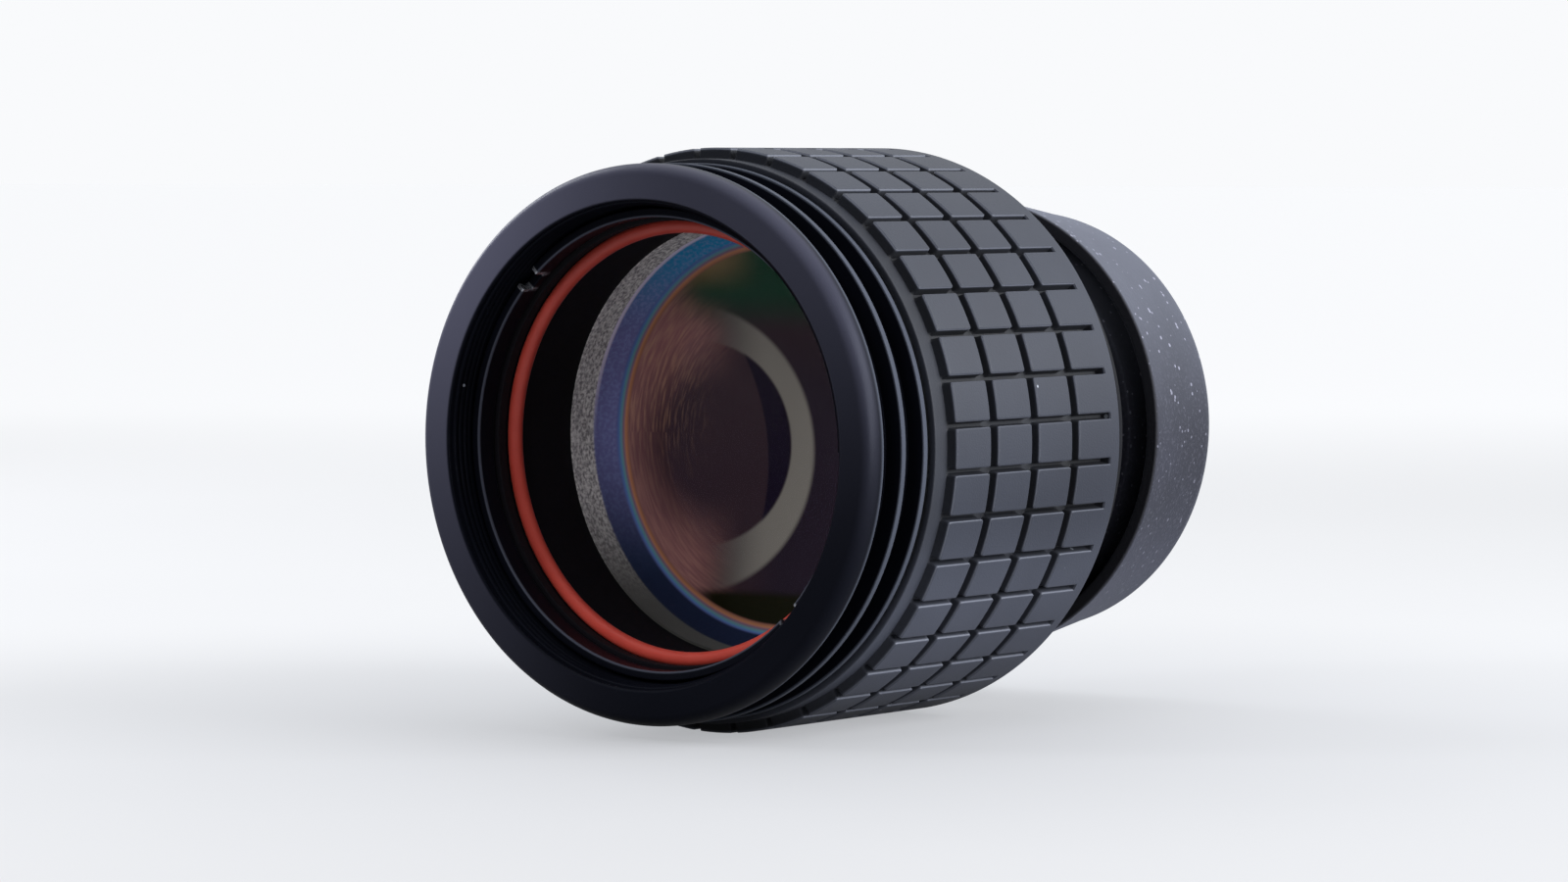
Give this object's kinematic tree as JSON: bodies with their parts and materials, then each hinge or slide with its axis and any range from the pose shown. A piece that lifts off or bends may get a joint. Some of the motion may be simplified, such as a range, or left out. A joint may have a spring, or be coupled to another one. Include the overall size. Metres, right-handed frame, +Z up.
{
  "type": "telescope eyepiece",
  "caption": "Large black eyepiece with a threaded telescope end, finned flange, turning rubber grip with square pads and a folded rubber eyecup that the grip slides in and out.",
  "frame": {"origin": "on the surface the eyepiece lies on, under the middle of its length", "axes": "+Y along the optical axis from the telescope end to the eye end, +Z up, +X to the right seen from the telescope end"},
  "size_m": [0.0584, 0.072, 0.0585],
  "materials": {
    "black_anodised": "satin black anodised, fine bead-blasted",
    "black_paint": "matt black anti-reflection paint",
    "grip_rubber": "matt moulded rubber, slightly blue grey",
    "eyecup_rubber": "matt soft rubber, fine speckle",
    "red_silicone": "satin red silicone",
    "coated_glass": "polished, multi-layer coated",
    "steel": "turned",
    "nylon": "natural, unpolished"
  },
  "bodies": {
    "barrel": {"main_barrel": "black_anodised", "front_retaining_ring": "black_anodised", "field_cell": "black_paint", "red_o_ring": "red_silicone", "field_crown_lens": "coated_glass", "field_flint_lens": "coated_glass", "field_spacer_ring": "black_paint", "eye_tube": "black_paint", "middle_retaining_ring": "black_paint", "middle_lens": "coated_glass", "field_stop_ring": "black_paint", "eye_flint_lens": "coated_glass", "eye_crown_lens": "coated_glass", "eye_retaining_ring": "black_anodised", "drag_o_ring": "eyecup_rubber", "glide_washer": "nylon", "grip_lock_ring": "black_anodised"},
    "grip": {"grip_ring": "black_anodised", "rubber_grip": "grip_rubber"},
    "eyecup": {"eyecup_carrier": "black_anodised", "cam_pin_1": "steel", "cam_pin_2": "steel", "cam_pin_3": "steel", "eyecup_clamp_ring": "black_anodised", "rubber_eyecup": "eyecup_rubber"}
  },
  "joints": [
    {"name": "grip_turn", "type": "hinge", "parent": "barrel", "child": "grip", "pos_m": [0, 0, 0.02925], "axis": [0, 1, 0], "range_deg": [0, 100]},
    {"name": "eyecup_slide", "type": "slide", "parent": "barrel", "child": "eyecup", "axis": [0, 1, 0], "range_m": [0, 0.005]}
  ],
  "couplings": [
    {"joint": "eyecup_slide", "follows": "grip_turn", "m_per_rad": 0.0028647}
  ]
}
